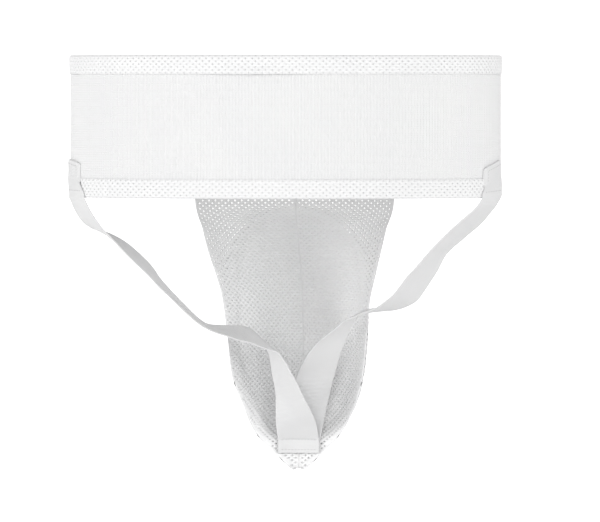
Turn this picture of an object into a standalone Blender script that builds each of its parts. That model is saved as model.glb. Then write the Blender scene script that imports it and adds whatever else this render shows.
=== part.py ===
"""Groin guard: an elastic waistband, a mesh pouch with a hard cup in its pocket, and two leg straps.

The frame is the wearer's: +X to the right, +Y to the front, +Z up, in metres. The origin is the centre
of the waistband's loop, halfway up the band.
"""

from collections import namedtuple
import math

import bmesh
import bpy
from mathutils import Vector

# Waistband: an upright elliptical loop with a mesh tape folded over each edge
WAIST_HALF_WIDTH = 0.1525
WAIST_HALF_DEPTH = 0.1000
BAND_HEIGHT = 0.1000
BAND_WALL = 0.0018
BINDING_DEPTH = 0.0136
BINDING_WALL = 0.0010
FOLD_GAP = 0.0003

# Pouch: two mesh layers hung from the front of the band, each of two panels that meet at a centre seam
POUCH_HALF_WIDTH = 0.0710
POUCH_DROP = 0.1930
POUCH_BULGE = 0.0400
POUCH_HEM = 0.0110
POUCH_WALL = 0.0015
LAYER_GAP = 0.0003
SEAM_GAP = 0.0006
POUCH_SETTLE = 0.12

# Cup: a hard shell in the pocket between the two layers, a little below the band and above the tip
CUP_TOP = 0.0130
CUP_RISE = 0.0150
CUP_ARCH = 0.0380
CUP_TOE = 0.0160
CUP_WALL = 0.0025
CUP_CLEARANCE = 0.0010
CUP_END_CUT = 0.14
RIM_LIMIT = 0.94

# Leg straps: flat elastic, stitched outside the band's sides and inside the pouch's tip
STRAP_WIDTH = 0.0300
STRAP_WALL = 0.0012
STRAP_HEM = 0.0085
STRAP_GAP = 0.0004
HEM_CLEARANCE = 0.0050
FOOT_RISE = 0.0100
FOOT_LAP = 0.0090
FOOT_TUCK = 0.0010

# Shares of a strap's free length over which it leaves the band's curve and takes the foot's
BAND_HOLD = 0.10
FOOT_HOLD = 0.14

# Small steps, as shares of the pouch, of a strap's free length and of a turn, that find a slope
FACE_STEP = 0.004
PATH_STEP = 0.02
LOOP_STEP = 0.01

# Steps of the faceted surfaces
LOOP_STEPS = 64
PANEL_STEPS = (5, 2, 24)
CUP_STEPS = (12, 20)
STRAP_STEPS = (4, 28)

# Pouch sections: down as a share of the drop, half width and lean as shares of the pouch's half
# width, and how far the seam and the side edge stand forward as shares of the bulge
PouchSection = namedtuple("PouchSection", "down half_width lean seam_forward edge_forward")
POUCH_SECTIONS = (
    PouchSection(0.000, 0.976, 0.000, 0.00, 0.00),
    PouchSection(0.050, 0.955, 0.000, 0.10, -0.01),
    PouchSection(0.125, 0.903, 0.000, 0.38, -0.03),
    PouchSection(0.200, 0.850, 0.003, 0.62, -0.05),
    PouchSection(0.307, 0.765, 0.020, 0.88, -0.09),
    PouchSection(0.380, 0.717, 0.024, 0.97, -0.12),
    PouchSection(0.525, 0.673, 0.034, 1.00, -0.19),
    PouchSection(0.670, 0.628, 0.041, 0.82, -0.22),
    PouchSection(0.762, 0.546, 0.056, 0.55, -0.17),
    PouchSection(0.835, 0.466, 0.046, 0.22, -0.10),
    PouchSection(0.890, 0.376, 0.038, -0.08, -0.03),
    PouchSection(0.927, 0.270, 0.042, -0.18, 0.00),
    PouchSection(0.964, 0.172, 0.042, -0.25, -0.03),
    PouchSection(0.992, 0.080, 0.042, -0.29, -0.07),
    PouchSection(1.000, 0.036, 0.042, -0.30, -0.08),
)

# Cup sides: drop as a share of the cup's length, half width as a share of the pouch's at that height
CupSection = namedtuple("CupSection", "drop half_width")
CUP_SIDES = (
    CupSection(0.00, 0.600),
    CupSection(0.23, 0.775),
    CupSection(0.50, 0.900),
    CupSection(0.72, 0.880),
    CupSection(0.84, 0.840),
    CupSection(0.93, 0.740),
    CupSection(1.00, 0.640),
)

# Strap stations from the band's lower edge to the foot: along as a share of the free length, then
# across, forward and down as shares of the way between those two ends, and the turn in degrees,
# 0 where the strap's face looks to the back and 90 where its edge does
StrapStation = namedtuple("StrapStation", "along across forward down turn")
LEFT_STATIONS = (
    StrapStation(0.000, 0.000, 0.000, 0.000, 68),
    StrapStation(0.026, 0.026, 0.010, 0.046, 66),
    StrapStation(0.051, 0.056, 0.020, 0.084, 68),
    StrapStation(0.092, 0.107, 0.044, 0.127, 78),
    StrapStation(0.138, 0.165, 0.087, 0.162, 90),
    StrapStation(0.205, 0.244, 0.155, 0.216, 98),
    StrapStation(0.280, 0.334, 0.233, 0.292, 97),
    StrapStation(0.346, 0.403, 0.300, 0.366, 92),
    StrapStation(0.470, 0.533, 0.430, 0.486, 91),
    StrapStation(0.528, 0.611, 0.497, 0.534, 92),
    StrapStation(0.588, 0.701, 0.566, 0.555, 104),
    StrapStation(0.643, 0.782, 0.630, 0.567, 107),
    StrapStation(0.688, 0.846, 0.685, 0.593, 96),
    StrapStation(0.726, 0.889, 0.735, 0.625, 77),
    StrapStation(0.812, 0.935, 0.790, 0.729, 59),
    StrapStation(0.917, 0.984, 0.870, 0.882, 38),
    StrapStation(1.000, 1.000, 1.000, 1.000, 0),
)
RIGHT_STATIONS = (
    StrapStation(0.000, 0.000, 0.000, 0.000, 68),
    StrapStation(0.021, 0.026, 0.004, 0.032, 69),
    StrapStation(0.056, 0.072, 0.014, 0.069, 70),
    StrapStation(0.144, 0.185, 0.074, 0.150, 71),
    StrapStation(0.229, 0.287, 0.158, 0.231, 72),
    StrapStation(0.309, 0.362, 0.250, 0.313, 62),
    StrapStation(0.393, 0.447, 0.355, 0.405, 62),
    StrapStation(0.443, 0.511, 0.420, 0.442, 73),
    StrapStation(0.485, 0.572, 0.470, 0.460, 84),
    StrapStation(0.532, 0.644, 0.530, 0.469, 95),
    StrapStation(0.584, 0.718, 0.600, 0.490, 89),
    StrapStation(0.653, 0.791, 0.690, 0.552, 71),
    StrapStation(0.735, 0.865, 0.780, 0.643, 51),
    StrapStation(0.800, 0.911, 0.880, 0.730, 37),
    StrapStation(0.920, 0.972, 0.985, 0.894, 22),
    StrapStation(1.000, 1.000, 1.000, 1.000, 0),
)

# Straps: the side of the wearer, the angle behind the band's side where it is sewn, its place in the
# stack at the pouch's tip, and whether its lower end is folded under
Strap = namedtuple("Strap", "name side angle layer folded_foot stations")
STRAPS = (
    Strap("right_strap", 1, 15, 0, False, RIGHT_STATIONS),
    Strap("left_strap", -1, 18, 1, True, LEFT_STATIONS),
)

BAND_STACK = BAND_WALL + 2 * BINDING_WALL + 2 * FOLD_GAP
BAND_LOW = -BAND_HEIGHT / 2
CUP_LENGTH = POUCH_DROP - CUP_TOP - CUP_RISE
FORWARD = Vector((0, 1, 0))


def ease(value):
    """0 to 1 with a level start and end."""
    value = min(max(value, 0.0), 1.0)
    return value * value * (3 - 2 * value)


def row_at(table, key):
    """The table's row at a key between its rows, on a smooth curve through every column."""
    key = min(max(key, table[0][0]), table[-1][0])
    index = max(i for i in range(len(table) - 1) if i == 0 or table[i][0] <= key)
    low, high = table[index], table[index + 1]
    before, after = table[max(index - 1, 0)], table[min(index + 2, len(table) - 1)]
    span = high[0] - low[0]
    t = (key - low[0]) / span
    values = []
    for a, b, c, d in zip(before, low, high, after):
        leave = (c - a) / (high[0] - before[0]) * span
        arrive = (d - b) / (after[0] - low[0]) * span
        values.append(
            (2 * t**3 - 3 * t**2 + 1) * b
            + (t**3 - 2 * t**2 + t) * leave
            + (3 * t**2 - 2 * t**3) * c
            + (t**3 - t**2) * arrive
        )
    return type(low)(*values)


def loop_normal(angle):
    """Outward normal of the waist ellipse. Angle 0 is the wearer's right and 90 degrees the front."""
    return Vector((math.cos(angle) / WAIST_HALF_WIDTH, math.sin(angle) / WAIST_HALF_DEPTH, 0)).normalized()


def loop_point(angle, outset, height):
    """Point that stands outset from the waist ellipse, along its normal."""
    on_ellipse = Vector((WAIST_HALF_WIDTH * math.cos(angle), WAIST_HALF_DEPTH * math.sin(angle), height))
    return on_ellipse + loop_normal(angle) * outset


def pouch_half_width(down):
    return POUCH_HALF_WIDTH * row_at(POUCH_SECTIONS, down).half_width


def hung_point(across, height):
    """Point of the pouch's inner face where it hangs flat against the inside of the band."""
    inset = BAND_STACK + 2 * (POUCH_WALL + LAYER_GAP)
    spread = math.asin(pouch_half_width(0) / (WAIST_HALF_WIDTH - inset))
    return loop_point(math.pi / 2 - across * spread, -inset, height)


def domed_point(across, down):
    """Point of the pouch's inner face where it bulges forward over the cup."""
    row = row_at(POUCH_SECTIONS, down)
    height = BAND_LOW - down * POUCH_DROP
    seam = hung_point(0, height).y + POUCH_BULGE * row.seam_forward
    edge = hung_point(1, height).y + POUCH_BULGE * row.edge_forward
    x = POUCH_HALF_WIDTH * (row.half_width * across + row.lean)
    return Vector((x, edge + (seam - edge) * (1 - across**2), height))


def pouch_face(across, down):
    """Point of the pouch's inner face: across -1 to 1, down 0 at the band's edge to 1 at the tip."""
    hung = hung_point(across, BAND_LOW - down * POUCH_DROP)
    if down <= 0:
        return hung
    return hung.lerp(domed_point(across, down), ease(down / POUCH_SETTLE))


def pouch_point(across, down, outset):
    """Point that stands outset in front of the pouch's inner face, along its normal."""
    low = min(down + FACE_STEP, 1)
    sideways = pouch_face(across + FACE_STEP, down) - pouch_face(across - FACE_STEP, down)
    downward = pouch_face(across, low) - pouch_face(across, low - 2 * FACE_STEP)
    return pouch_face(across, down) + sideways.cross(downward).normalized() * outset


def cup_half_width(drop):
    """Half width of the cup at a drop below its top: an arch, the sides, then a round toe."""
    arch = min(drop / CUP_ARCH, 1)
    toe = min((CUP_LENGTH - drop) / CUP_TOE, 1)
    down = (CUP_TOP + drop) / POUCH_DROP
    width = pouch_half_width(down) * row_at(CUP_SIDES, drop / CUP_LENGTH).half_width
    return width * math.sqrt(arch * (2 - arch)) * math.sqrt(toe * (2 - toe))


def rim_share(down):
    """Share of the pouch's half width, just outside the cup's side, where the pocket starts to close."""
    side = row_at(CUP_SIDES, (down * POUCH_DROP - CUP_TOP) / CUP_LENGTH).half_width
    return min(side + CUP_CLEARANCE / pouch_half_width(down), RIM_LIMIT)


def cup_room(across, down):
    """How much of the cup's room the outer layer leaves there: 1 over the cup, 0 where it is sewn."""
    side = ease((1 - abs(across)) / (1 - rim_share(down)))
    top = ease(down * POUCH_DROP / CUP_TOP)
    tip = ease((1 - down) * POUCH_DROP / CUP_RISE)
    return side * top * tip


def lining_point(across, down):
    return pouch_point(across, down, POUCH_WALL / 2)


def outer_point(across, down):
    room = (CUP_WALL + 2 * CUP_CLEARANCE - LAYER_GAP) * cup_room(across, down)
    return pouch_point(across, down, 1.5 * POUCH_WALL + LAYER_GAP + room)


def cup_point(across, drop):
    down = (CUP_TOP + drop) / POUCH_DROP
    share = across * cup_half_width(drop) / pouch_half_width(down)
    return pouch_point(share, down, POUCH_WALL + CUP_CLEARANCE + CUP_WALL / 2)


def make_material(name, color, roughness):
    material = bpy.data.materials.new(name)
    material.use_nodes = True
    shader = material.node_tree.nodes["Principled BSDF"]
    shader.inputs["Base Color"].default_value = (*color, 1)
    shader.inputs["Roughness"].default_value = roughness
    shader.inputs["Metallic"].default_value = 0
    return material


def make_shell(name, rows, wall, material, collection, closed=False):
    """A surface through rows of points, given its wall on both sides. Closed joins each row's ends."""
    mesh = bmesh.new()
    grid = [[mesh.verts.new(point) for point in row] for row in rows]
    columns = len(rows[0])
    for low, high in zip(grid, grid[1:]):
        for i in range(columns if closed else columns - 1):
            j = (i + 1) % columns
            mesh.faces.new((low[i], low[j], high[j], high[i]))
    data = bpy.data.meshes.new(name)
    mesh.to_mesh(data)
    mesh.free()
    data.shade_smooth()
    data.materials.append(material)
    shell = bpy.data.objects.new(name, data)
    collection.objects.link(shell)
    solidify = shell.modifiers.new("Wall", "SOLIDIFY")
    solidify.thickness = wall
    solidify.offset = 0
    solidify.use_even_offset = True
    return shell


def make_ring(name, profile, wall, material, collection):
    """A shell round the waist ellipse through a profile of outsets and heights."""
    angles = [2 * math.pi * i / LOOP_STEPS for i in range(LOOP_STEPS)]
    rows = [[loop_point(angle, outset, height) for angle in angles] for outset, height in profile]
    return make_shell(name, rows, wall, material, collection, closed=True)


def make_waistband(material, collection):
    fold_radius = (BAND_STACK - BINDING_WALL) / 2
    reach = BAND_HEIGHT / 2 - BINDING_WALL / 2 - fold_radius
    profile = [(-BAND_STACK / 2, reach * share) for share in (-1, -0.75, 0, 0.75, 1)]
    return make_ring("waistband", profile, BAND_WALL, material, collection)


def make_binding(name, side, material, collection):
    """Tape folded in a U over the band's edge: side is 1 for the upper edge and -1 for the lower."""
    fold_radius = (BAND_STACK - BINDING_WALL) / 2
    free_edge = BAND_HEIGHT / 2 - BINDING_DEPTH
    fold_centre = BAND_HEIGHT / 2 - BINDING_WALL / 2 - fold_radius
    profile = [(fold_radius - BAND_STACK / 2, free_edge)]
    for turn in range(0, 181, 45):
        rise = fold_radius * math.sin(math.radians(turn))
        outset = fold_radius * math.cos(math.radians(turn)) - BAND_STACK / 2
        profile.append((outset, fold_centre + rise))
    profile.append((-fold_radius - BAND_STACK / 2, free_edge))
    profile = [(outset, side * height) for outset, height in profile]
    return make_ring(name, profile, BINDING_WALL, material, collection)


def make_panel(name, side, point, material, collection):
    """One half of a pouch layer, from its hem inside the band to the tip."""
    over_cup, beside_cup, lines = PANEL_STEPS
    rows = []
    for down in [-POUCH_HEM / POUCH_DROP] + [i / lines for i in range(lines + 1)]:
        seam, rim = SEAM_GAP / 2 / pouch_half_width(down), rim_share(down)
        shares = [seam + (rim - seam) * i / over_cup for i in range(over_cup)]
        shares += [rim + (1 - rim) * i / beside_cup for i in range(beside_cup + 1)]
        rows.append([point(side * share, down) for share in shares])
    return make_shell(name, rows, POUCH_WALL, material, collection)


def make_cup(material, collection):
    columns, lines = CUP_STEPS
    first, last = CUP_END_CUT * CUP_ARCH, CUP_LENGTH - CUP_END_CUT * CUP_TOE
    rows = []
    for i in range(lines + 1):
        crowded = (1 - math.cos(math.pi * i / lines)) / 2
        drop = first + (last - first) * (crowded + i / lines) / 2
        rows.append([cup_point(2 * j / columns - 1, drop) for j in range(columns + 1)])
    return make_shell("cup", rows, CUP_WALL, material, collection)


def hem_profile(length, low, high):
    """Outsets and distances from the fold of a tucked end: under, round the fold, then on top."""
    radius = (high - low) / 2
    profile = [(length, low), (radius, low)]
    for turn in (45, 90, 135):
        distance = radius * (1 - math.sin(math.radians(turn)))
        profile.append((distance, low + radius * (1 - math.cos(math.radians(turn)))))
    profile.append((radius, high))
    return profile


def strap_band_row(strap, outset, height, columns):
    """Row of a strap where it lies on the band, bent round it."""
    angle = math.pi / 2 + strap.side * math.radians(-90 - strap.angle)
    ahead = loop_point(angle + LOOP_STEP, outset, 0)
    pace = (ahead - loop_point(angle - LOOP_STEP, outset, 0)).length / (2 * LOOP_STEP)
    swing = STRAP_WIDTH / 2 / pace * -strap.side
    return [loop_point(angle + swing * column, outset, height) for column in columns]


def strap_foot_row(strap, outset, distance, columns):
    """Row of a strap where it lies inside the pouch's tip, at a distance above its lower end."""
    down = 1 - (FOOT_RISE + distance) / POUCH_DROP
    share = STRAP_WIDTH / 2 / pouch_half_width(down)
    return [pouch_point(-strap.side * share * column, down, -outset) for column in columns]


def strap_centre(strap, upper, lower, along):
    """Point of the strap's middle line on its way from the band to the foot."""
    row = row_at(strap.stations, along)
    shares = (row.across, row.forward, row.down)
    return Vector([start + (end - start) * share for start, end, share in zip(upper, lower, shares)])


def strap_free_row(strap, start, end, along, columns):
    """Row of a strap between its last row on the band and its first on the foot, turned as it hangs."""
    middle = len(columns) // 2
    upper, lower = start[middle], end[middle]
    ahead = strap_centre(strap, upper, lower, along + PATH_STEP)
    tangent = (ahead - strap_centre(strap, upper, lower, along - PATH_STEP)).normalized()
    flat = tangent.cross(FORWARD).normalized()
    turn = math.radians(row_at(strap.stations, along).turn)
    width = flat * -strap.side * math.cos(turn) + tangent.cross(flat) * math.sin(turn)
    held = ease(1 - along / BAND_HOLD)
    seated = ease((along - 1 + FOOT_HOLD) / FOOT_HOLD)
    centre = strap_centre(strap, upper, lower, along)
    row = []
    for column, on_band, on_foot in zip(columns, start, end):
        free = width * (STRAP_WIDTH / 2 * column) * (1 - held - seated)
        row.append(centre + free + (on_band - upper) * held + (on_foot - lower) * seated)
    return row


def make_strap(strap, material, collection):
    steps, lines = STRAP_STEPS
    columns = [2 * i / steps - 1 for i in range(steps + 1)]
    pitch = STRAP_WALL + STRAP_GAP
    under = STRAP_WALL / 2 + STRAP_GAP - BINDING_WALL - FOLD_GAP
    over = under + pitch
    top = BAND_LOW + BINDING_DEPTH + HEM_CLEARANCE + STRAP_HEM
    rows = []
    for distance, outset in hem_profile(STRAP_HEM, under, over):
        rows.append(strap_band_row(strap, outset, top - distance, columns))
    for share in (0.6, 0.3, 0):
        height = BAND_LOW + (top - BAND_LOW) * share
        rows.append(strap_band_row(strap, over, height, columns))
    stack = STRAP_GAP + STRAP_WALL / 2 + strap.layer * pitch
    face = stack + (pitch if strap.folded_foot else 0)
    foot = strap_foot_row(strap, face, FOOT_LAP, columns)
    leave = rows[-1]
    rows += [strap_free_row(strap, leave, foot, i / lines, columns) for i in range(1, lines)]
    rows += [foot, strap_foot_row(strap, face, FOOT_LAP / 2, columns)]
    if strap.folded_foot:
        for distance, outset in reversed(hem_profile(FOOT_LAP - FOOT_TUCK, stack, face)):
            rows.append(strap_foot_row(strap, outset, distance, columns))
    else:
        rows.append(strap_foot_row(strap, face, 0, columns))
    return make_shell(strap.name, rows, STRAP_WALL, material, collection)


def main():
    for stale in list(bpy.data.objects):
        bpy.data.objects.remove(stale)
    collection = bpy.data.collections.new("groin_guard")
    bpy.context.scene.collection.children.link(collection)
    knit = make_material("knit_elastic", (0.84, 0.84, 0.83), 0.85)
    tape = make_material("mesh_tape", (0.88, 0.88, 0.88), 0.8)
    mesh = make_material("pouch_mesh", (0.80, 0.80, 0.80), 0.85)
    webbing = make_material("strap_elastic", (0.82, 0.82, 0.82), 0.8)
    plastic = make_material("cup_plastic", (0.82, 0.82, 0.82), 0.4)

    make_waistband(knit, collection)
    make_binding("top_binding", 1, tape, collection)
    make_binding("bottom_binding", -1, tape, collection)
    for word, side in (("left", -1), ("right", 1)):
        make_panel(f"pouch_outer_{word}", side, outer_point, mesh, collection)
        make_panel(f"pouch_lining_{word}", side, lining_point, mesh, collection)
    make_cup(plastic, collection)
    for strap in STRAPS:
        make_strap(strap, webbing, collection)


main()
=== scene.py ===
"""Looks of the groin guard: knitted waistband, pierced mesh cloth, webbing straps, cup and stitches.

The frame is the wearer's: +X to the right, +Y to the front, +Z up, in metres.
"""

import math
from collections import namedtuple

import bmesh
import bpy
import numpy as np
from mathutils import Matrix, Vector


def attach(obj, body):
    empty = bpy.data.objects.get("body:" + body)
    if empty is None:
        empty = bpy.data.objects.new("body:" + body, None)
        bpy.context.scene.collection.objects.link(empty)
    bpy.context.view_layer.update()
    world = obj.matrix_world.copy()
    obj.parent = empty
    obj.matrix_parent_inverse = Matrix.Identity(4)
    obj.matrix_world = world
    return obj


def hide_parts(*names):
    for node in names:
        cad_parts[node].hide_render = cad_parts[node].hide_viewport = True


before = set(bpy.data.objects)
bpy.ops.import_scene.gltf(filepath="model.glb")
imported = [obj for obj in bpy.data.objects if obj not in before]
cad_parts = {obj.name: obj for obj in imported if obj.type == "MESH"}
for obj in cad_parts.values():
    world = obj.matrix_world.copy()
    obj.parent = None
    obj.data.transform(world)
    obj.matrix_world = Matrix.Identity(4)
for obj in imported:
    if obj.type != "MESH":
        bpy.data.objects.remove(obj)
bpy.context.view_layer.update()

# Waistband and bindings
WAIST_HALF_WIDTH = 0.1525
WAIST_HALF_DEPTH = 0.1000
BAND_HEIGHT = 0.1000
BAND_WALL = 0.0018
BINDING_DEPTH = 0.0136
BINDING_WALL = 0.0010
FOLD_GAP = 0.0003
RIB_PITCH = 0.0023
RIB_DEPTH = 0.00042
RIB_PROFILE = (0.0, 0.85, 1.0, 0.85)
TAPE_THICKNESS = 0.0006
TAPE_HOLE = 0.00037
TAPE_PRESS = 0.0005
TAPE_BULGE = 0.0016
TAPE_PRESS_RUN = 0.007
RIB_ROWS = 17
RIB_EVENNESS = 0.94
RIB_WANDER = 0.03

# Pouch
POUCH_HALF_WIDTH = 0.0710
POUCH_DROP = 0.1930
POUCH_BULGE = 0.0400
POUCH_HEM = 0.0110
POUCH_WALL = 0.0015
LAYER_GAP = 0.0003
POUCH_SETTLE = 0.12
MESH_THICKNESS = 0.0006
MESH_HOLE = 0.00064
LINING_PLACE = 0.0013
OUTER_PLACE = 0.0020
SEAM_GROOVE = 0.0008
SEAM_SPREAD = 0.0026
SEAM_LIFT = 0.0060
SEAM_ALLOWANCE = 0.0016
EDGE_HEM = 0.0006
EDGE_JOIN = 0.0003
EDGE_JOIN_WIDTH = 0.0035

# Cup
CUP_TOP = 0.0130
CUP_RISE = 0.0150
CUP_ARCH = 0.0380
CUP_TOE = 0.0160
CUP_WALL = 0.0025
CUP_CLEARANCE = 0.0010
CUP_END_CUT = 0.03
CUP_MARGIN = 0.0008
CUP_SLOPE = 0.0040
CUP_REST = 0.0035
CUP_COLUMNS = 36
CUP_LINES = 64
CUP_EDGE_SPREAD = 0.8
CUP_END_CROWD = 0.7
CUP_BEVEL = 0.0008

# Leg straps
STRAP_WIDTH = 0.0300
STRAP_WALL = 0.0012
STRAP_HEM = 0.0085
HEM_CLEARANCE = 0.0050
FOOT_RISE = 0.0100
FOOT_LAP = 0.0090
FOOT_TUCK = 0.0010
BAND_HOLD = 0.10
FOOT_HOLD = 0.14
STRAP_PRESSED = 0.0009
FOOT_SUNK = 0.0009
STRAP_COLUMNS = 50
STRAP_LINES = 170
STACK_GAP = 0.0001
HEM_SHORT = 0.0004
END_ROUNDING = 0.0015
END_SINK = 0.0002
END_SINK_RUN = 0.003
END_PRESSED_FROM = 0.80
EDGE_ROLL = 0.0007
EDGE_LEAST = 0.20
CORD_LOW = 0.80
# Rows of the strap that stay pressed at the band and at a folded or flat foot, and rows it swells over
PRESSED_BAND_ROWS = 26
PRESSED_FOLD_ROWS = 22
PRESSED_FLAT_ROWS = 7
SWELL_ROWS = 8

# Stitches: share of the way along a stitch, and its width there
THREAD_RADIUS = 0.00026
THREAD_SIDES = 6
STITCH_FILL = 0.55
STITCH_SHAPE = ((0, 0.3), (0.12, 0.8), (0.5, 1.0), (0.88, 0.8), (1, 0.3))

# Mesh cloth: holes in staggered rows
HOLE_PITCH = 0.0047
HOLE_ROW = 0.00195
HOLE_EDGE = 0.3
HOLE_CORNERS = ((-0.87, -0.5), (0, -1), (0.87, -0.5), (0.87, 0.5), (0, 1), (-0.87, 0.5))

# Hole sizes in the pouch, as shares of MESH_HOLE: over the cup, and what is added or taken elsewhere
HOLE_OVER_CUP = 0.78
HOLE_RIM_LOSS = 0.30
HOLE_LOW_LOSS = 0.14
HOLE_TIP_GAIN = 0.60
HOLE_OUTER_TIP_LOSS = 0.70
# Where those sizes change: distances from the cup's outline, and shares of the way down, as start and run
OPEN_AWAY = (0.0035, 0.0035)
RIM_AWAY = (0.0015, 0.0028)
OPEN_DOWN = (0.45, 0.15)
LOW_DOWN = (0.50, 0.20)
TIP_DOWN = (0.86, 0.08)
OUTER_TIP_DOWN = (0.86, 0.06)

# Stage: the floor, its rim, and the pool of light as inner and outer radius and the glow at each
FLOOR_HEIGHT = -0.60
FLOOR_RADIUS = 7.0
FLOOR_RIM = 2.0
WALL_HEIGHT = 4.5
FLOOR_SIDES = 72
POOL_CENTRE = (0, 8.0, -0.3)
POOL_GLOW = (1.6, 4.0, 0.95, 0.40)

# Lights: name, place, aim, size and power
LIGHTS = (
    ("key", (-0.5, -4.1, 0.70), (0, 0, -0.08), 1.7, 35),
    ("fill", (2.5, -3.0, 0.8), (0, 0, -0.08), 1.8, 27),
    ("side", (-2.8, -1.2, 0.4), (0, 0, 0), 1.4, 30),
    ("far_side", (2.8, -1.2, 0.4), (0, 0, 0), 1.4, 14),
    ("front", (1.2, 3.4, 1.6), (0, 0, -0.08), 1.6, 20),
)
WORLD_GLOW = 0.50

# Camera: behind the wearer, turned a little to the right side, and a little above its aim
CAMERA_TURN = 4.5
CAMERA_DISTANCE = 6.0
CAMERA_HEIGHT = 0.040
AIM_ASIDE = 0.01017
AIM_HEIGHT = -0.09465
VIEW_WIDTH = 0.42078

# Edges sharper than this, in degrees, stay sharp in the shading; points nearer than this join
SMOOTH_ANGLE = 50
JOIN_DISTANCE = 1e-6

# Small steps that find a slope
FACE_STEP = 0.004
PATH_STEP = 0.02
LOOP_STEP = 0.01

PouchSection = namedtuple("PouchSection", "down half_width lean seam_forward edge_forward")
POUCH_SECTIONS = (
    PouchSection(0.000, 0.976, 0.000, 0.00, 0.00),
    PouchSection(0.050, 0.955, 0.000, 0.10, -0.01),
    PouchSection(0.125, 0.903, 0.000, 0.38, -0.03),
    PouchSection(0.200, 0.850, 0.003, 0.62, -0.05),
    PouchSection(0.307, 0.765, 0.020, 0.88, -0.09),
    PouchSection(0.380, 0.717, 0.024, 0.97, -0.12),
    PouchSection(0.525, 0.673, 0.034, 1.00, -0.19),
    PouchSection(0.670, 0.628, 0.041, 0.82, -0.22),
    PouchSection(0.762, 0.546, 0.056, 0.55, -0.17),
    PouchSection(0.835, 0.466, 0.046, 0.22, -0.10),
    PouchSection(0.890, 0.376, 0.038, -0.08, -0.03),
    PouchSection(0.927, 0.270, 0.042, -0.18, 0.00),
    PouchSection(0.964, 0.172, 0.042, -0.25, -0.03),
    PouchSection(0.992, 0.080, 0.042, -0.29, -0.07),
    PouchSection(1.000, 0.036, 0.042, -0.30, -0.08),
)
CupSection = namedtuple("CupSection", "drop half_width")
CUP_SIDES = (
    CupSection(0.00, 0.600),
    CupSection(0.23, 0.775),
    CupSection(0.50, 0.900),
    CupSection(0.72, 0.880),
    CupSection(0.84, 0.840),
    CupSection(0.93, 0.740),
    CupSection(1.00, 0.640),
)
StrapStation = namedtuple("StrapStation", "along across forward down turn")
LEFT_STATIONS = (
    StrapStation(0.000, 0.000, 0.000, 0.000, 68),
    StrapStation(0.026, 0.026, 0.010, 0.046, 66),
    StrapStation(0.051, 0.056, 0.020, 0.084, 68),
    StrapStation(0.092, 0.107, 0.044, 0.127, 78),
    StrapStation(0.138, 0.165, 0.087, 0.162, 90),
    StrapStation(0.205, 0.244, 0.155, 0.216, 98),
    StrapStation(0.280, 0.334, 0.233, 0.292, 97),
    StrapStation(0.346, 0.403, 0.300, 0.366, 92),
    StrapStation(0.470, 0.533, 0.430, 0.486, 91),
    StrapStation(0.528, 0.611, 0.497, 0.534, 92),
    StrapStation(0.588, 0.701, 0.566, 0.555, 104),
    StrapStation(0.643, 0.782, 0.630, 0.567, 107),
    StrapStation(0.688, 0.846, 0.685, 0.593, 96),
    StrapStation(0.726, 0.889, 0.735, 0.625, 77),
    StrapStation(0.812, 0.935, 0.790, 0.729, 59),
    StrapStation(0.917, 0.984, 0.870, 0.882, 38),
    StrapStation(1.000, 1.000, 1.000, 1.000, 0),
)
RIGHT_STATIONS = (
    StrapStation(0.000, 0.000, 0.000, 0.000, 68),
    StrapStation(0.021, 0.026, 0.004, 0.032, 69),
    StrapStation(0.056, 0.072, 0.014, 0.069, 70),
    StrapStation(0.144, 0.185, 0.074, 0.150, 71),
    StrapStation(0.229, 0.287, 0.158, 0.231, 72),
    StrapStation(0.309, 0.362, 0.250, 0.313, 62),
    StrapStation(0.393, 0.447, 0.355, 0.405, 62),
    StrapStation(0.443, 0.511, 0.420, 0.442, 73),
    StrapStation(0.485, 0.572, 0.470, 0.460, 84),
    StrapStation(0.532, 0.644, 0.530, 0.469, 95),
    StrapStation(0.584, 0.718, 0.600, 0.490, 89),
    StrapStation(0.653, 0.791, 0.690, 0.552, 71),
    StrapStation(0.735, 0.865, 0.780, 0.643, 51),
    StrapStation(0.800, 0.911, 0.880, 0.730, 37),
    StrapStation(0.920, 0.972, 0.985, 0.894, 22),
    StrapStation(1.000, 1.000, 1.000, 1.000, 0),
)
Strap = namedtuple("Strap", "name side angle layer folded_foot stations slant tilt")
STRAPS = (
    Strap("right_strap", 1, 15, 0, False, RIGHT_STATIONS, 0.0030, 0.0062),
    Strap("left_strap", -1, 18, 1, True, LEFT_STATIONS, 0.0080, 0.0025),
)

BAND_STACK = BAND_WALL + 2 * BINDING_WALL + 2 * FOLD_GAP
BAND_LOW = -BAND_HEIGHT / 2
FOLD_RADIUS = (BAND_STACK - BINDING_WALL) / 2
FOLD_CENTRE = BAND_HEIGHT / 2 - BINDING_WALL / 2 - FOLD_RADIUS
BINDING_LEG = FOLD_CENTRE - (BAND_HEIGHT / 2 - BINDING_DEPTH)
BINDING_CUT = 2 * BINDING_LEG + math.pi * FOLD_RADIUS
STRAP_TOP = BAND_LOW + BINDING_DEPTH + HEM_CLEARANCE + STRAP_HEM
CUP_LENGTH = POUCH_DROP - CUP_TOP - CUP_RISE
FORWARD = np.array((0.0, 1.0, 0.0))


def ease(value):
    """Smooth step from 0 to 1."""
    value = np.clip(value, 0.0, 1.0)
    return value * value * (3 - 2 * value)


def unit(vectors):
    return vectors / np.linalg.norm(vectors, axis=-1, keepdims=True)


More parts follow.
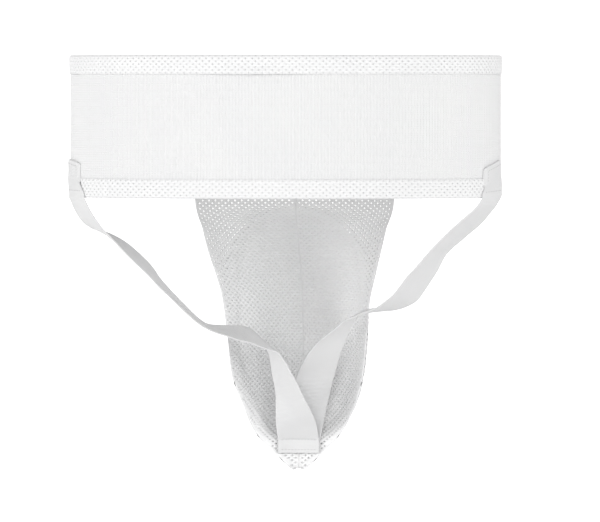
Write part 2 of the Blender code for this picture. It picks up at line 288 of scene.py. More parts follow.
def row_at(table, key):
    """The table's row at a key between its rows, on a smooth curve through every column."""
    key = min(max(key, table[0][0]), table[-1][0])
    index = max(i for i in range(len(table) - 1) if i == 0 or table[i][0] <= key)
    low, high = table[index], table[index + 1]
    before, after = table[max(index - 1, 0)], table[min(index + 2, len(table) - 1)]
    span = high[0] - low[0]
    t = (key - low[0]) / span
    values = []
    for a, b, c, d in zip(before, low, high, after):
        leave = (c - a) / (high[0] - before[0]) * span
        arrive = (d - b) / (after[0] - low[0]) * span
        values.append(
            (2 * t**3 - 3 * t**2 + 1) * b
            + (t**3 - 2 * t**2 + t) * leave
            + (3 * t**2 - 2 * t**3) * c
            + (t**3 - t**2) * arrive
        )
    return type(low)(*values)


class Curves:
    """A table's columns as smooth functions of its first column, for whole arrays of keys."""

    def __init__(self, table, steps=1200):
        self.keys = np.linspace(table[0][0], table[-1][0], steps + 1)
        rows = [row_at(table, key) for key in self.keys]
        for name in table[0]._fields:
            setattr(self, "_" + name, np.array([getattr(row, name) for row in rows]))

    def at(self, name, key):
        return np.interp(key, self.keys, getattr(self, "_" + name))


pouch_curves = Curves(POUCH_SECTIONS)
cup_curves = Curves(CUP_SIDES)


def loop_points(angle, outset, height):
    """Points that stand outset from the waist ellipse, along its normal."""
    angle, outset, height = np.broadcast_arrays(*(np.asarray(x, float) for x in (angle, outset, height)))
    cos, sin = np.cos(angle), np.sin(angle)
    normal = unit(np.stack((cos / WAIST_HALF_WIDTH, sin / WAIST_HALF_DEPTH, 0 * cos), -1))
    base = np.stack((WAIST_HALF_WIDTH * cos, WAIST_HALF_DEPTH * sin, height), -1)
    return base + normal * outset[..., None]


turns = np.linspace(0, 2 * math.pi, 4001)
ellipse = loop_points(turns, 0, 0)
arcs = np.concatenate(([0], np.cumsum(np.linalg.norm(np.diff(ellipse, axis=0), axis=1))))
LOOP_LENGTH = float(arcs[-1])


def loop_angle(distance):
    """Angle at a distance round the loop."""
    return np.interp(np.mod(distance, LOOP_LENGTH), arcs, turns)


def pouch_half_width(down):
    return POUCH_HALF_WIDTH * pouch_curves.at("half_width", down)


POUCH_INSET = BAND_STACK + 2 * (POUCH_WALL + LAYER_GAP)
POUCH_SPREAD = math.asin(float(pouch_half_width(0)) / (WAIST_HALF_WIDTH - POUCH_INSET))


def hung_points(across, height):
    """Points where the pouch hangs straight down from the inside of the band."""
    return loop_points(math.pi / 2 - across * POUCH_SPREAD, -POUCH_INSET, height)


def pouch_face(across, down):
    """Points of the pouch's inner face: across -1 to 1, down 0 at the band's edge to 1 at the tip."""
    across, down = np.broadcast_arrays(np.asarray(across, float), np.asarray(down, float))
    height = BAND_LOW - down * POUCH_DROP
    hung = hung_points(across, height)
    seam = hung_points(0 * across, height)[..., 1] + POUCH_BULGE * pouch_curves.at("seam_forward", down)
    edge = hung_points(0 * across + 1, height)[..., 1] + POUCH_BULGE * pouch_curves.at("edge_forward", down)
    half = pouch_curves.at("half_width", down)
    x = POUCH_HALF_WIDTH * (half * across + pouch_curves.at("lean", down))
    domed = np.stack((x, edge + (seam - edge) * (1 - across**2), height), -1)
    settled = ease(down / POUCH_SETTLE)[..., None]
    return hung + (domed - hung) * settled


def pouch_points(across, down, outset):
    """Points that stand outset in front of the pouch's inner face, along its normal."""
    across, down = np.broadcast_arrays(np.asarray(across, float), np.asarray(down, float))
    low = np.minimum(down + FACE_STEP, 1)
    sideways = pouch_face(across + FACE_STEP, down) - pouch_face(across - FACE_STEP, down)
    downward = pouch_face(across, low) - pouch_face(across, low - 2 * FACE_STEP)
    normal = unit(np.cross(sideways, downward))
    return pouch_face(across, down) + normal * np.asarray(outset)[..., None]


def cup_half_width(drop):
    """Half the cup's width at a drop below its top: arched above, rounded at the toe."""
    arch = np.minimum(drop / CUP_ARCH, 1)
    toe = np.minimum((CUP_LENGTH - drop) / CUP_TOE, 1)
    down = (CUP_TOP + drop) / POUCH_DROP
    width = pouch_half_width(down) * cup_curves.at("half_width", drop / CUP_LENGTH)
    return width * np.sqrt(arch * (2 - arch)) * np.sqrt(toe * (2 - toe))


outline_drops = CUP_LENGTH * (1 - np.cos(np.linspace(0, math.pi, 181))) / 2
outline_x = cup_half_width(outline_drops)
outline_z = CUP_TOP + outline_drops


def cup_edge(across, down):
    """Distance outside the cup's outline in the cloth, below 0 inside it."""
    x = np.abs(across) * pouch_half_width(down)
    z = down * POUCH_DROP
    away = np.sqrt((x[..., None] - outline_x) ** 2 + (z[..., None] - outline_z) ** 2).min(-1)
    inside = (x < np.interp(z, outline_z, outline_x)) & (z > CUP_TOP) & (z < CUP_TOP + CUP_LENGTH)
    return np.where(inside, -away, away)


def seam_share(across, down, spread):
    """1 on the centre seam, falling away over the spread."""
    return np.exp(-((across * pouch_half_width(down) / spread) ** 2))


def side_edge(across, down):
    """1 at the side edges, where the two layers are sewn into one, falling to 0 away from them."""
    return ease(1 - (1 - np.abs(across)) * pouch_half_width(down) / EDGE_JOIN_WIDTH)


def lining_outset(across, down):
    """The lining stands off at the cup's rim, rests on the cup inside it, and dips at the seam."""
    edge = side_edge(across, down) * EDGE_JOIN
    room = CUP_CLEARANCE + POUCH_WALL - MESH_THICKNESS / 2 - LINING_PLACE
    rest = room * ease(-cup_edge(across, down) / CUP_REST) * (1 - seam_share(across, down, SEAM_LIFT))
    return LINING_PLACE + edge + rest + SEAM_GROOVE * seam_share(across, down, SEAM_SPREAD)


def outer_outset(across, down):
    """The outer cloth steps forward over the cup and lies near the lining beside it."""
    edge = side_edge(across, down) * EDGE_JOIN
    over = ease(1 - (cup_edge(across, down) - CUP_MARGIN) / CUP_SLOPE)
    over = over * ease((1 - np.abs(across)) * pouch_half_width(down) / CUP_SLOPE)
    room = (CUP_WALL + 2 * CUP_CLEARANCE + POUCH_WALL + MESH_THICKNESS / 2 - OUTER_PLACE) * over
    return OUTER_PLACE - edge + room + SEAM_GROOVE / 2 * seam_share(across, down, SEAM_SPREAD) * (1 - over)


# Distances along the cloth, from the seam to the side edge at each height and from the hem down
panel_downs = np.linspace(-POUCH_HEM / POUCH_DROP, 1, 260)
panel_grid = pouch_face(np.linspace(0, 1, 41)[None, :], panel_downs[:, None])
panel_widths = np.linalg.norm(np.diff(panel_grid, axis=1), axis=2).sum(1)
panel_steps = np.linalg.norm(np.diff(panel_grid[:, 20], axis=0), axis=1)
panel_alongs = np.concatenate(([0], np.cumsum(panel_steps)))


# Materials


def new_material(name, roughness, sheen=0.0):
    material = bpy.data.materials.new(name)
    material.use_nodes = True
    shader = material.node_tree.nodes["Principled BSDF"]
    shader.inputs["Roughness"].default_value = roughness
    shader.inputs["Sheen Weight"].default_value = sheen
    shader.inputs["Sheen Roughness"].default_value = 0.5
    shader.inputs["Specular IOR Level"].default_value = 0.25
    return material, material.node_tree, shader


def link(tree, source, target):
    tree.links.new(source, target)


def tinted(tree, shader, coordinates, light, dark, scale):
    """Colour that wanders between two close tones, as cloth takes the light unevenly."""
    noise = tree.nodes.new("ShaderNodeTexNoise")
    noise.inputs["Scale"].default_value = scale
    noise.inputs["Detail"].default_value = 3
    ramp = tree.nodes.new("ShaderNodeValToRGB")
    ramp.color_ramp.elements[0].position = 0.3
    ramp.color_ramp.elements[0].color = (*dark, 1)
    ramp.color_ramp.elements[1].position = 0.7
    ramp.color_ramp.elements[1].color = (*light, 1)
    link(tree, coordinates, noise.inputs["Vector"])
    link(tree, noise.outputs["Fac"], ramp.inputs["Fac"])
    link(tree, ramp.outputs["Color"], shader.inputs["Base Color"])


def wave(tree, coordinates, axis, period, distortion=0.0):
    """Bands across one axis, one per period in metres."""
    node = tree.nodes.new("ShaderNodeTexWave")
    node.wave_type = "BANDS"
    node.bands_direction = axis
    node.wave_profile = "SIN"
    node.inputs["Scale"].default_value = 2 * math.pi / (20 * period)
    node.inputs["Distortion"].default_value = distortion
    node.inputs["Detail"].default_value = 1
    link(tree, coordinates, node.inputs["Vector"])
    return node.outputs["Fac"]


def bumped(tree, shader, height, distance, strength=1.0, normal=None):
    bump = tree.nodes.new("ShaderNodeBump")
    bump.inputs["Distance"].default_value = distance
    bump.inputs["Strength"].default_value = strength
    link(tree, height, bump.inputs["Height"])
    if normal is not None:
        link(tree, normal, bump.inputs["Normal"])
    link(tree, bump.outputs["Normal"], shader.inputs["Normal"])
    return bump.outputs["Normal"]


def fibre_noise(tree, coordinates, scale):
    noise = tree.nodes.new("ShaderNodeTexNoise")
    noise.inputs["Scale"].default_value = scale
    noise.inputs["Detail"].default_value = 2
    link(tree, coordinates, noise.inputs["Vector"])
    return noise.outputs["Fac"]


def knit_material():
    material, tree, shader = new_material("knit_elastic_cloth", 0.85, 0.3)
    place = tree.nodes.new("ShaderNodeTexCoord").outputs["Object"]
    tinted(tree, shader, place, (0.715, 0.715, 0.715), (0.70, 0.70, 0.705), 22)
    rows = wave(tree, place, "Z", 0.0016, 0.3)
    first = bumped(tree, shader, rows, 0.00012, 0.9)
    bumped(tree, shader, fibre_noise(tree, place, 1500), 0.00006, 0.5, first)
    return material


def mesh_material(name, light, dark):
    material, tree, shader = new_material(name, 0.8, 0.3)
    place = tree.nodes.new("ShaderNodeTexCoord").outputs["Object"]
    tinted(tree, shader, place, light, dark, 30)
    bumped(tree, shader, fibre_noise(tree, place, 1800), 0.00010, 0.6)
    return material


def webbing_material():
    material, tree, shader = new_material("strap_webbing", 0.75, 0.3)
    place = tree.nodes.new("ShaderNodeTexCoord")
    tinted(tree, shader, place.outputs["Object"], (0.69, 0.69, 0.69), (0.67, 0.67, 0.675), 25)
    weft = wave(tree, place.outputs["UV"], "Y", 0.0011, 0.4)
    first = bumped(tree, shader, weft, 0.00016, 0.8)
    bumped(tree, shader, fibre_noise(tree, place.outputs["Object"], 1600), 0.0001, 0.5, first)
    return material


def plastic_material():
    material, tree, shader = new_material("cup_moulding", 0.38)
    shader.inputs["Specular IOR Level"].default_value = 0.5
    place = tree.nodes.new("ShaderNodeTexCoord").outputs["Object"]
    tinted(tree, shader, place, (0.86, 0.86, 0.86), (0.84, 0.84, 0.845), 12)
    bumped(tree, shader, fibre_noise(tree, place, 900), 0.00004, 0.4)
    return material


# Real stitches in white thread, coloured dark grey as painted shade of the stitch holes.
def thread_painted_shade_material():
    material, tree, shader = new_material("sewing_thread_painted_shade", 0.6, 0.2)
    place = tree.nodes.new("ShaderNodeTexCoord").outputs["Object"]
    tinted(tree, shader, place, (0.52, 0.52, 0.52), (0.46, 0.46, 0.465), 60)
    bumped(tree, shader, fibre_noise(tree, place, 2500), 0.00008, 0.6)
    return material


KNIT = knit_material()
TAPE = mesh_material("binding_mesh_cloth", (0.76, 0.76, 0.76), (0.74, 0.74, 0.745))
MESH = {
    "lining": mesh_material("pouch_lining_mesh_cloth", (0.82, 0.82, 0.82), (0.80, 0.80, 0.805)),
    # The outer layer is the same white mesh cloth as the lining, in a darker copy: its darker tone is
    # painted shade, meant to darken the pouch's tip.
    "outer": mesh_material("pouch_outer_mesh_painted_shade", (0.66, 0.66, 0.66), (0.64, 0.64, 0.645)),
}
WEBBING = webbing_material()
PLASTIC = plastic_material()
THREAD_PAINTED_SHADE = thread_painted_shade_material()


# Mesh building


def make_object(name, points, faces, material, thin_from=None, uv=None):
    """A mesh piece. Points from the index thin_from on are the rims of holes, which are thinner."""
    data = bpy.data.meshes.new(name)
    data.from_pydata([tuple(p) for p in np.asarray(points, float)], [], faces)
    work = bmesh.new()
    work.from_mesh(data)
    if thin_from is not None:
        weights = work.verts.layers.deform.verify()
        for vertex in work.verts:
            if vertex.index < thin_from:
                vertex[weights][0] = 1.0
    if uv is not None:
        layer = work.loops.layers.uv.new("UVMap")
        for face in work.faces:
            for corner in face.loops:
                corner[layer].uv = uv[corner.vert.index]
    bmesh.ops.remove_doubles(work, verts=work.verts, dist=JOIN_DISTANCE)
    bmesh.ops.dissolve_degenerate(work, dist=JOIN_DISTANCE, edges=work.edges)
    work.to_mesh(data)
    work.free()
    data.shade_smooth()
    data.set_sharp_from_angle(angle=math.radians(SMOOTH_ANGLE))
    data.materials.append(material)
    piece = bpy.data.objects.new(name, data)
    bpy.context.scene.collection.objects.link(piece)
    if thin_from is not None:
        piece.vertex_groups.new(name="full_thickness")
    return piece


def grid_faces(rows, columns, wrap_rows=False, wrap_columns=False, start=0):
    """Quads between the neighbours of a grid of points, stored row by row from the index start."""
    faces = []
    for i in range(rows if wrap_rows else rows - 1):
        for j in range(columns if wrap_columns else columns - 1):
            m = (j + 1) % columns
            near, far = start + i * columns, start + (i + 1) % rows * columns
            faces.append((near + j, near + m, far + m, far + j))
    return faces


def thicken(piece, wall):
    solidify = piece.modifiers.new("Wall", "SOLIDIFY")
    solidify.thickness = wall
    solidify.offset = 0
    solidify.use_even_offset = False
    if piece.vertex_groups:
        solidify.vertex_group = "full_thickness"
        solidify.thickness_vertex_group = HOLE_EDGE
    return piece


def pierced(
    name, size, place, material, wall, hole, closed=False, limits=None, plain=(0, 0), share=None
):
    """Mesh cloth with staggered rows of holes. size is its width and height, and place maps distances
    across and along to points. limits gives the least and greatest distance across at each distance
    along, plain the widths along those two edges that have no holes, and share a hole's share of the
    full size at a place."""
    width, height = size
    columns = int(round(width / (HOLE_PITCH / 2)))
    columns += columns % 2
    rows = int(round(height / HOLE_ROW))
    du, dv = width / columns, height / rows
    rise = dv / 6
    count = columns if closed else columns + 1
    across = np.zeros((rows + 1, count))
    along = np.zeros((rows + 1, count))
    for k in range(rows + 1):
        for j in range(count):
            odd = (j + k) % 2 == 1
            across[k, j] = j * du
            along[k, j] = k * dv + (-rise if odd else rise) * (0 < k < rows)
    if limits is not None:
        low, high = limits(np.arange(rows + 1) * dv)
        held = across >= high[:, None]
        across = np.where(held, high[:, None], across)
        along = np.where(held, np.arange(rows + 1)[:, None] * dv, along)
    flat = [np.stack((across, along), -1).reshape(-1, 2)]
    faces, total = [], across.size
    for k in range(rows):
        for j in range(count):
            if (j + k) % 2 == 0:
                continue
            if not closed and j in (0, columns):
                a, b = (j, j + 1) if j == 0 else (j - 1, j)
                faces.append((k * count + a, k * count + b, (k + 1) * count + b, (k + 1) * count + a))
                continue
            left, right = (j - 1) % count, (j + 1) % count
            ids = [k * count + left, k * count + j, k * count + right]
            ids += [(k + 1) * count + right, (k + 1) * count + j, (k + 1) * count + left]
            middle = np.array((j * du, (k + 0.5) * dv))
            if limits is not None:
                clear = low[k] + plain[0] < middle[0] < min(high[k], high[k + 1]) - hole - plain[1]
                if not clear:
                    faces.append((ids[0], ids[1], ids[4], ids[5]))
                    faces.append((ids[1], ids[2], ids[3], ids[4]))
                    continue
            flat.append(middle + np.array(HOLE_CORNERS) * hole * (share(*middle) if share else 1))
            for i in range(len(HOLE_CORNERS)):
                n = (i + 1) % len(HOLE_CORNERS)
                faces.append((ids[i], ids[n], total + n, total + i))
            total += len(HOLE_CORNERS)
    flat = np.concatenate(flat)
    piece = make_object(name, place(flat[:, 0], flat[:, 1]), faces, material, thin_from=across.size)
    return thicken(piece, wall)


# Waistband: vertical ribs on both faces


def make_waistband():
    ribs = int(round(LOOP_LENGTH / RIB_PITCH))
    columns = ribs * len(RIB_PROFILE)
    distance = np.arange(columns) * LOOP_LENGTH / columns
    angle = loop_angle(distance)
    number = np.arange(ribs)
    uneven = RIB_EVENNESS + RIB_WANDER * np.sin(number * 2.4) + RIB_WANDER * np.sin(number * 0.61 + 1.3)
    rib = 1 - (1 - np.tile(RIB_PROFILE, ribs)) * np.repeat(uneven, len(RIB_PROFILE))
    heights = np.linspace(-FOLD_CENTRE, FOLD_CENTRE, RIB_ROWS)
    rings = []
    for side in (1, -1):
        for height in heights[::side]:
            outset = -BAND_STACK / 2 + side * (BAND_WALL / 2 - RIB_DEPTH * (1 - rib))
            rings.append(loop_points(angle, outset, height))
    points = np.concatenate(rings)
    faces = grid_faces(len(rings), columns, wrap_rows=True, wrap_columns=True)
    piece = make_object("waistband_knit", points, faces, KNIT)
    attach(piece, "root")
    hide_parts("waistband")
    return piece


def binding_flare(across, side):
    """How far the tape's outer edge stands off: pressed to the band, but for a soft bulge at the top."""
    angle = np.degrees(loop_angle(across))
    bulge = np.exp(-(((angle - 264) / 11) ** 2)) + 0.5 * np.exp(-(((angle - 198) / 4) ** 2))
    ripple = 0.12 * np.sin(across / 0.0075) + 0.10 * np.sin(across / 0.0031 + 1)
    return TAPE_PRESS * (-1 + 0.25 * ripple) + (TAPE_BULGE * bulge if side > 0 else 0)


def binding_path(across, along, side):
    """Outset and height on the tape's U-shaped path, from its outer free edge over the fold."""
    bend = math.pi * FOLD_RADIUS
    turn = np.clip((along - BINDING_LEG) / FOLD_RADIUS, 0, math.pi)
    outset = FOLD_RADIUS * np.cos(turn) - BAND_STACK / 2
    height = FOLD_CENTRE + FOLD_RADIUS * np.sin(turn)
    height = height - np.clip(BINDING_LEG - along, 0, BINDING_LEG)
    height = height - np.clip(along - BINDING_LEG - bend, 0, BINDING_LEG)
    outset = outset + binding_flare(across, side) * ease(1 - along / TAPE_PRESS_RUN)
    outset = outset + TAPE_PRESS * ease(1 - (BINDING_CUT - along) / TAPE_PRESS_RUN)
    return outset, side * height


def make_binding(name, side):
    def place(across, along):
        outset, height = binding_path(across, along, side)
        return loop_points(loop_angle(across), outset, height)

    size = (LOOP_LENGTH, BINDING_CUT)
    piece = pierced(name + "_tape", size, place, TAPE, TAPE_THICKNESS, TAPE_HOLE, closed=True)
    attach(piece, "root")
    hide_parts(name)
    return piece


# Pouch panels


def make_panel(word, layer, side, outset):
    length = float(panel_alongs[-1])

    def down_at(along):
        return np.interp(along, panel_alongs, panel_downs)

    def share_at(across, along):
        down = down_at(along)
        return side * across / np.interp(down, panel_downs, panel_widths), down

    def place(across, along):
        share, down = share_at(across, along)
        return pouch_points(share, down, outset(share, down))

    def passed(value, span):
        """How far a value is past the start of a span, from 0 to 1 over its run."""
        return float(ease((value - span[0]) / span[1]))

    def lining_share(across, along):
        """The lining's holes close over the cup and below, most of all at its rim, but open at the tip."""
        down = float(down_at(along))
        away = float(cup_edge(*(np.array(value) for value in share_at(across, along))))
        open_share = passed(away, OPEN_AWAY) * float(ease((OPEN_DOWN[0] - down) / OPEN_DOWN[1]))
        rim = math.exp(-(((away - RIM_AWAY[0]) / RIM_AWAY[1]) ** 2))
        share = HOLE_OVER_CUP + (1 - HOLE_OVER_CUP) * open_share - HOLE_RIM_LOSS * rim * (1 - open_share)
        return share - HOLE_LOW_LOSS * passed(down, LOW_DOWN) + HOLE_TIP_GAIN * passed(down, TIP_DOWN)

    def outer_share(_, along):
        """The outer cloth's holes draw nearly shut at the tip, where the layers are sewn together."""
        return 1 - HOLE_OUTER_TIP_LOSS * passed(float(down_at(along)), OUTER_TIP_DOWN)

    def limits(along):
        edge = np.interp(down_at(along), panel_downs, panel_widths)
        return 0 * edge, edge

    name = f"pouch_{layer}_{word}"
    plain = (SEAM_ALLOWANCE if layer == "outer" else 0, EDGE_HEM)
    piece = pierced(
        name + "_mesh",
        (float(panel_widths.max()) + HOLE_PITCH, length),
        place,
        MESH[layer],
        MESH_THICKNESS,
        MESH_HOLE,
        limits=limits,
        plain=plain,
        share=lining_share if layer == "lining" else outer_share,
    )
    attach(piece, "root")
    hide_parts(name)
    return piece


# Cup


def make_cup():
    first, last = CUP_END_CUT * CUP_ARCH, CUP_LENGTH - CUP_END_CUT * CUP_TOE
    step = np.linspace(0, 1, CUP_LINES + 1)
    crowded = (1 - np.cos(math.pi * step)) / 2 * CUP_END_CROWD + step * (1 - CUP_END_CROWD)
    widest = math.pi / 2 * CUP_EDGE_SPREAD
    share = np.sin(np.linspace(-1, 1, CUP_COLUMNS + 1) * widest) / math.sin(widest)
    drop = np.repeat((first + (last - first) * crowded)[:, None], CUP_COLUMNS + 1, 1)
    down = (CUP_TOP + drop) / POUCH_DROP
    across = share[None, :] * cup_half_width(drop) / pouch_half_width(down)
    points = pouch_points(across, down, POUCH_WALL + CUP_CLEARANCE + CUP_WALL / 2 + 0 * drop)
    faces = grid_faces(CUP_LINES + 1, CUP_COLUMNS + 1)
    piece = make_object("cup_shell", points.reshape(-1, 3), faces, PLASTIC)
    thicken(piece, CUP_WALL)
    bevel = piece.modifiers.new("Rim", "BEVEL")
    bevel.width = CUP_BEVEL
    bevel.segments = 2
    bevel.limit_method = "ANGLE"
    bevel.angle_limit = math.radians(SMOOTH_ANGLE)
    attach(piece, "root")
    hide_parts("cup")
    return piece


# Leg straps


def hem_profile(length, low, high):
    """Outsets and distances from the fold of a tucked end: under, round the fold, then on top."""
    radius = (high - low) / 2
    profile = [(radius + (length - radius) * share, low) for share in (1, 0.75, 0.5, 0.25, 0)]
    for turn in range(15, 180, 15):
        distance = radius * (1 - math.sin(math.radians(turn)))
        profile.append((distance, low + radius * (1 - math.cos(math.radians(turn)))))
    profile.append((radius, high))
    return profile


def strap_band_row(strap, outset, height, columns):
    """A row of the end on the band, whose top is turned away by the slant and falls by the tilt."""
    angle = math.pi / 2 + strap.side * math.radians(-90 - strap.angle)
    ahead = loop_points(angle + LOOP_STEP, outset, 0)
    pace = np.linalg.norm(ahead - loop_points(angle - LOOP_STEP, outset, 0)) / (2 * LOOP_STEP)
    swing = STRAP_WIDTH / 2 / pace * -strap.side
    raised = ease((height - BAND_LOW) / (BINDING_DEPTH + HEM_CLEARANCE))
    turned = strap.side * strap.slant * raised / pace
    fall = strap.tilt * raised * (1 + columns) / 2 + END_ROUNDING * raised * np.abs(columns) ** 6
    above_tape = ease((height - BAND_LOW - BINDING_DEPTH) / END_SINK_RUN)
    lowest = STRAP_PRESSED / 2 - END_SINK - (BINDING_WALL + FOLD_GAP) * above_tape
    pressed = ease((np.abs(columns) - END_PRESSED_FROM) / (1 - END_PRESSED_FROM))
    outset = outset - (outset - lowest) * pressed
    return loop_points(angle + turned + swing * columns, outset, height - fall)


def strap_foot_row(strap, outset, distance, columns):
    """A row of the end on the pouch, at a distance from the foot's fold."""
    down = 1 - (FOOT_RISE + distance) / POUCH_DROP
    share = STRAP_WIDTH / 2 / pouch_half_width(down)
    return pouch_points(-strap.side * share * columns, down + 0 * columns, -outset + 0 * columns)


def strap_centre(curves, upper, lower, along):
    shares = np.array([curves.at(name, along) for name in ("across", "forward", "down")])
    return upper + (lower - upper) * shares


def strap_free_row(strap, curves, start, end, along, columns):
    """A row between the band and the foot, turned about the strap's path."""
    middle = len(columns) // 2
    upper, lower = start[middle], end[middle]
    ahead = strap_centre(curves, upper, lower, along + PATH_STEP)
    tangent = unit(ahead - strap_centre(curves, upper, lower, along - PATH_STEP))
    flat = unit(np.cross(tangent, FORWARD))
    turn = math.radians(float(curves.at("turn", along)))
    width = flat * -strap.side * math.cos(turn) + np.cross(tangent, flat) * math.sin(turn)
    held = ease(1 - along / BAND_HOLD)
    seated = ease((along - 1 + FOOT_HOLD) / FOOT_HOLD)
    centre = strap_centre(curves, upper, lower, along)
    free = width * (STRAP_WIDTH / 2) * (1 - held - seated)
    return centre + columns[:, None] * free + (start - upper) * held + (end - lower) * seated


def foot_outsets(strap):
    """Where the foot's middle lies, in front of the pouch's inner face: its under and upper layer."""
    stack = STRAP_PRESSED / 2 - FOOT_SUNK + strap.layer * (STRAP_PRESSED + STACK_GAP)
    return stack, stack + (STRAP_PRESSED + STACK_GAP if strap.folded_foot else 0)


def strap_rows(strap, columns):
    curves = Curves(strap.stations)
    under = STRAP_PRESSED / 2 - BINDING_WALL - FOLD_GAP
    over = under + STRAP_PRESSED + STACK_GAP
    resting = STRAP_PRESSED / 2 + STACK_GAP
    rows = []
    for distance, outset in hem_profile(STRAP_HEM + HEM_CLEARANCE - HEM_SHORT, under, over):
        rows.append(strap_band_row(strap, outset, STRAP_TOP - distance, columns))
    for share in np.linspace(0.9, 0, 13):
        height = BAND_LOW + (STRAP_TOP - BAND_LOW) * share
        outset = resting + (over - resting) * ease((height - BAND_LOW - BINDING_DEPTH) / HEM_CLEARANCE)
        rows.append(strap_band_row(strap, outset, height, columns))
    stack, face = foot_outsets(strap)
    foot = strap_foot_row(strap, face, FOOT_LAP, columns)
    leave = rows[-1]
    for i in range(1, STRAP_LINES):
        rows.append(strap_free_row(strap, curves, leave, foot, i / STRAP_LINES, columns))
    rows += [strap_foot_row(strap, face, FOOT_LAP * share, columns) for share in (1, 0.8, 0.6, 0.4)]
    if strap.folded_foot:
        for distance, outset in reversed(hem_profile(FOOT_LAP - FOOT_TUCK, stack, face)):
            rows.append(strap_foot_row(strap, outset, distance, columns))
    else:
        rows += [strap_foot_row(strap, face, FOOT_LAP * share, columns) for share in (0.2, 0)]
    return np.array(rows)


def make_strap(strap):
    columns = np.linspace(-1, 1, STRAP_COLUMNS + 1)
    middle = strap_rows(strap, columns)
    lengthwise = np.gradient(middle, axis=0)
    widthwise = np.gradient(middle, axis=1)
    normal = unit(np.cross(lengthwise, widthwise))
    edge = np.clip((1 - np.abs(columns)) * STRAP_WIDTH / 2 / EDGE_ROLL, 0, 1)
    roll = np.sqrt(np.clip(1 - (1 - edge) ** 2, EDGE_LEAST, 1))
    cords = np.where(np.arange(STRAP_COLUMNS + 1) % 2 == 0, 1.0, CORD_LOW)
    number = np.arange(len(middle))
    foot_rows = PRESSED_FOLD_ROWS if strap.folded_foot else PRESSED_FLAT_ROWS
    free = np.minimum(number - PRESSED_BAND_ROWS, len(middle) - foot_rows - number)
    wall = STRAP_PRESSED + (STRAP_WALL - STRAP_PRESSED) * np.clip(free / SWELL_ROWS, 0, 1)
    half = wall[:, None] / 2 * roll * cords
    upper = middle + normal * half[..., None]
    lower = middle - normal * half[..., None]
    rows, count = middle.shape[:2]
    section = np.concatenate((upper, lower[:, ::-1]), axis=1)
    points = section.reshape(-1, 3)
    faces = grid_faces(rows, 2 * count, wrap_columns=True)
    for end in (0, rows - 1):
        start = end * 2 * count
        for j in range(count - 1):
            quad = (start + j, start + j + 1, start + 2 * count - 2 - j, start + 2 * count - 1 - j)
            faces.append(quad if end else quad[::-1])
    steps = np.linalg.norm(np.diff(middle[:, count // 2], axis=0), axis=1)
    length = float(steps.sum())
    run = np.concatenate(([0], np.cumsum(steps)))
    breadth = np.concatenate((columns, columns[::-1])) * STRAP_WIDTH / 2
    uv = np.stack(np.broadcast_arrays(breadth, run[:, None]), -1).reshape(-1, 2).tolist()
    piece = make_object(strap.name + "_webbing", points, faces, WEBBING, uv=uv)
    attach(piece, "root")
    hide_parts(strap.name)
    return piece, length


# Stitches


def stitch_row(place, low, high, count):
    """Starts and ends of the stitches on a line; place maps a position to a point."""
    edges = np.linspace(low, high, count + 1)
    step = (high - low) / count
    starts = place(edges[:-1] + step * (1 - STITCH_FILL) / 2)
    return starts, place(edges[:-1] + step * (1 + STITCH_FILL) / 2)


def make_stitches(name, lines):
    """Short rounded lengths of thread, tapered at both ends, in one piece."""
    starts = np.concatenate([line[0] for line in lines])
    ends = np.concatenate([line[1] for line in lines])
    axis = unit(ends - starts)
    side = unit(np.cross(axis, np.where(np.abs(axis[:, 2:]) > 0.9, (1.0, 0, 0), (0, 0, 1.0))))
    other = np.cross(axis, side)
    turn = np.arange(THREAD_SIDES) * 2 * math.pi / THREAD_SIDES
    rings = []
    for share, width in STITCH_SHAPE:
        centre = starts + (ends - starts) * share
        spokes = side[:, None] * np.cos(turn)[:, None] + other[:, None] * np.sin(turn)[:, None]
        rings.append(centre[:, None] + spokes * THREAD_RADIUS * width)
    points = np.stack(rings, 1).reshape(-1, 3)
    faces = []
    for i in range(len(starts)):
        start = i * len(STITCH_SHAPE) * THREAD_SIDES
        end = start + (len(STITCH_SHAPE) - 1) * THREAD_SIDES
        faces += grid_faces(len(STITCH_SHAPE), THREAD_SIDES, wrap_columns=True, start=start)
        faces.append(tuple(start + j for j in reversed(range(THREAD_SIDES))))
        faces.append(tuple(end + j for j in range(THREAD_SIDES)))
    piece = make_object(name, points, faces, THREAD_PAINTED_SHADE)
    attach(piece, "root")
    return piece


def band_place(strap, outset, height):
    return lambda position: strap_band_row(strap, outset, height, position)


def foot_place(strap, outset, distance):
    return lambda position: strap_foot_row(strap, outset, distance, position)


def band_column_place(strap, outset, column):
    def place(heights):
        return np.array([strap_band_row(strap, outset, height, np.array([column]))[0] for height in heights])

    return place


def strap_stitches(strap):
    """Rows of stitches on the strap's two ends: across and down the hem, and across the foot."""
    folded = STRAP_PRESSED * 1.5 - BINDING_WALL - FOLD_GAP + STACK_GAP + STRAP_PRESSED / 2
    resting = STRAP_PRESSED + STACK_GAP
    lines = [
        stitch_row(band_place(strap, resting, BAND_LOW + 0.0055), -0.86, 0.86, 9),
        stitch_row(band_place(strap, folded, STRAP_TOP - 0.0025), -0.80, 0.72, 9),
        stitch_row(
            band_column_place(strap, folded - 0.0001, 0.74), STRAP_TOP - 0.0105, STRAP_TOP - 0.0020, 4
        ),
    ]
    face = foot_outsets(strap)[1] + STRAP_PRESSED / 2
    lines.append(stitch_row(foot_place(strap, face, FOOT_LAP - 0.0006), -0.88, 0.88, 11))
    lines.append(stitch_row(foot_place(strap, face, 0.0016), -0.88, 0.88, 11))
    make_stitches(strap.name + "_stitches", lines)


# Build


make_waistband()
make_binding("top_binding", 1)
make_binding("bottom_binding", -1)
for word, side in (("left", -1), ("right", 1)):
    make_panel(word, "lining", side, lining_outset)
    make_panel(word, "outer", side, outer_outset)
make_cup()
for strap in STRAPS:
    made, strap_length = make_strap(strap)
    print(strap.name, "length", round(strap_length, 4))
    strap_stitches(strap)


# Stage, light and camera


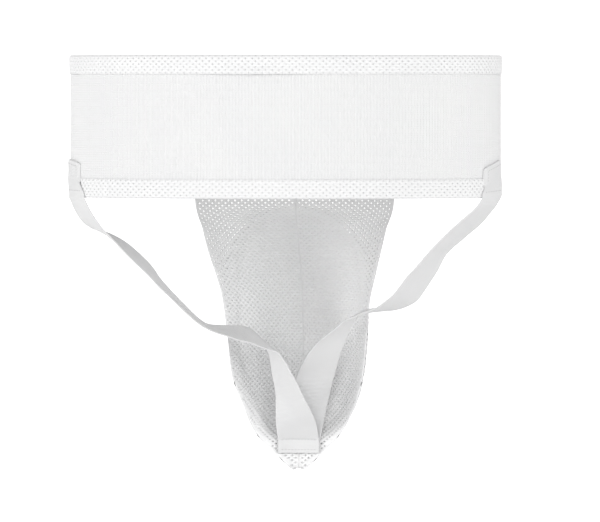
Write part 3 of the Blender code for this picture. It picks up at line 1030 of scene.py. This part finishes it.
def stage_material():
    """Pale and matt, with an even glow and a brighter pool of light on the backdrop."""
    material = bpy.data.materials.new("pale_floor")
    material.use_nodes = True
    tree = material.node_tree
    shader = tree.nodes["Principled BSDF"]
    shader.inputs["Base Color"].default_value = (0.60, 0.60, 0.60, 1)
    shader.inputs["Roughness"].default_value = 0.9
    shader.inputs["Emission Color"].default_value = (1, 1, 1, 1)
    away = tree.nodes.new("ShaderNodeVectorMath")
    away.operation = "DISTANCE"
    away.inputs[1].default_value = POOL_CENTRE
    glow = tree.nodes.new("ShaderNodeMapRange")
    glow.interpolation_type = "SMOOTHSTEP"
    for name, value in zip(("From Min", "From Max", "To Min", "To Max"), POOL_GLOW):
        glow.inputs[name].default_value = value
    link(tree, tree.nodes.new("ShaderNodeTexCoord").outputs["Object"], away.inputs[0])
    link(tree, away.outputs["Value"], glow.inputs["Value"])
    link(tree, glow.outputs["Result"], shader.inputs["Emission Strength"])
    return material


def make_stage():
    """Round pale floor whose rim curves up into a wall, so every side has the same plain backdrop."""
    profile = [(share * FLOOR_RADIUS, 0.0) for share in (0.02, 0.25, 0.5, 0.75, 1.0)]
    for a in np.linspace(0.15, math.pi / 2, 12):
        profile.append((FLOOR_RADIUS + FLOOR_RIM * math.sin(a), FLOOR_RIM - FLOOR_RIM * math.cos(a)))
    profile.append((FLOOR_RADIUS + FLOOR_RIM, WALL_HEIGHT))
    around = np.arange(FLOOR_SIDES) * 2 * math.pi / FLOOR_SIDES
    points = [(r * math.cos(a), r * math.sin(a), FLOOR_HEIGHT + z) for r, z in profile for a in around]
    faces = grid_faces(len(profile), FLOOR_SIDES, wrap_columns=True)
    faces.append(tuple(reversed(range(FLOOR_SIDES))))
    data = bpy.data.meshes.new("floor")
    data.from_pydata(points, [], faces)
    data.shade_smooth()
    data.materials.append(stage_material())
    piece = bpy.data.objects.new("floor", data)
    bpy.context.scene.collection.objects.link(piece)


def make_light(name, place, aim, size, power):
    data = bpy.data.lights.new(name, "AREA")
    data.shape = "DISK"
    data.size = size
    data.energy = power
    lamp = bpy.data.objects.new(name, data)
    lamp.location = place
    lamp.rotation_euler = (Vector(aim) - Vector(place)).to_track_quat("-Z", "Y").to_euler()
    bpy.context.scene.collection.objects.link(lamp)


def make_camera():
    turn = math.radians(CAMERA_TURN)
    place = Vector((CAMERA_DISTANCE * math.sin(turn), -CAMERA_DISTANCE * math.cos(turn), CAMERA_HEIGHT))
    aim = Vector((AIM_ASIDE * math.cos(turn), AIM_ASIDE * math.sin(turn), AIM_HEIGHT))
    data = bpy.data.cameras.new("camera")
    data.sensor_width = 36
    data.lens = data.sensor_width * CAMERA_DISTANCE / VIEW_WIDTH
    data.clip_end = 60
    camera = bpy.data.objects.new("camera", data)
    camera.location = place
    camera.rotation_euler = (aim - place).to_track_quat("-Z", "Y").to_euler()
    bpy.context.scene.collection.objects.link(camera)
    bpy.context.scene.camera = camera


def make_world():
    world = bpy.data.worlds.new("studio")
    world.use_nodes = True
    background = world.node_tree.nodes["Background"]
    background.inputs["Color"].default_value = (1, 1, 1, 1)
    background.inputs["Strength"].default_value = WORLD_GLOW
    bpy.context.scene.world = world
    bpy.context.scene.view_settings.view_transform = "Standard"


make_stage()
make_world()
for light in LIGHTS:
    make_light(*light)
make_camera()

bpy.context.view_layer.update()
